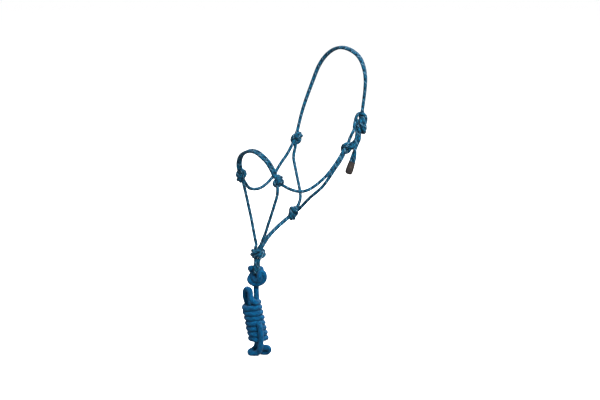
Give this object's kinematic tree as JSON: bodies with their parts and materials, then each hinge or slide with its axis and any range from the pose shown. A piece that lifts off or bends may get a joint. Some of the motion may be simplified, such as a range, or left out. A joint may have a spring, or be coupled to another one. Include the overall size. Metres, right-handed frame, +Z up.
{
  "type": "rope halter",
  "caption": "Knotted rope halter for a horse in its worn shape, with a lead rope hitched to it and wound into a hank.",
  "frame": {"origin": "underside of the crown strap at the top of its arch, where it rests on the horse's poll", "axes": "+X to the horse's left, +Y towards its tail, +Z up"},
  "size_m": [0.2531, 0.3384, 0.8181],
  "materials": {
    "halter_cord": "braided polyester cord, steel blue with dark and pale flecks",
    "lead_rope": "braided polyester rope, plain blue",
    "sleeve": "matte dark sleeve"
  },
  "bodies": {
    "crown": {"crown_strap_front": "halter_cord", "crown_strap_back": "halter_cord", "halter_tie": "halter_cord", "latch_loop_front": "halter_cord", "latch_loop_back": "halter_cord", "cheek_knot_left": "halter_cord", "cheek_knot_right": "halter_cord"},
    "nose_part": {"cheek_piece_left": "halter_cord", "cheek_piece_right": "halter_cord", "throat_latch_left": "halter_cord", "throat_latch_right": "halter_cord", "throat_knot": "halter_cord", "jaw_strand_left": "halter_cord", "jaw_strand_right": "halter_cord", "nose_knot_left": "halter_cord", "nose_knot_right": "halter_cord", "chin_strand_left": "halter_cord", "chin_strand_right": "halter_cord", "fiador_knot": "halter_cord"},
    "noseband": {"noseband_front": "halter_cord", "noseband_back": "halter_cord"},
    "fiador_loops": {"fiador_loop_left": "halter_cord", "fiador_loop_right": "halter_cord"},
    "lead": {"lead_hitch": "lead_rope", "lead_standing": "lead_rope", "lead_hank": "lead_rope"},
    "crown_tail": {"crown_tail_front": "halter_cord", "crown_tail_back": "halter_cord", "tail_sleeve": "sleeve"}
  },
  "joints": [
    {"name": "nose_part_lift", "type": "hinge", "parent": "crown", "child": "nose_part", "pos_m": [0, -0.066, -0.2498], "axis": [-1, 0, 0], "range_deg": [0, 25]},
    {"name": "noseband_fold", "type": "hinge", "parent": "nose_part", "child": "noseband", "pos_m": [0, -0.285, -0.3298], "axis": [1, 0, 0], "range_deg": [-40, 60]},
    {"name": "fiador_loop_swing", "type": "hinge", "parent": "nose_part", "child": "fiador_loops", "pos_m": [0, -0.289, -0.5348], "axis": [0.766, -0.6428, 0], "range_deg": [-40, 40]},
    {"name": "lead_swing", "type": "hinge", "parent": "fiador_loops", "child": "lead", "pos_m": [0, -0.289, -0.5758], "axis": [0.6428, 0.766, 0], "range_deg": [-50, 50]},
    {"name": "crown_tail_swing", "type": "hinge", "parent": "crown", "child": "crown_tail", "pos_m": [0.117, -0.037, -0.2318], "axis": [0, -1, 0], "range_deg": [0, 60]}
  ]
}
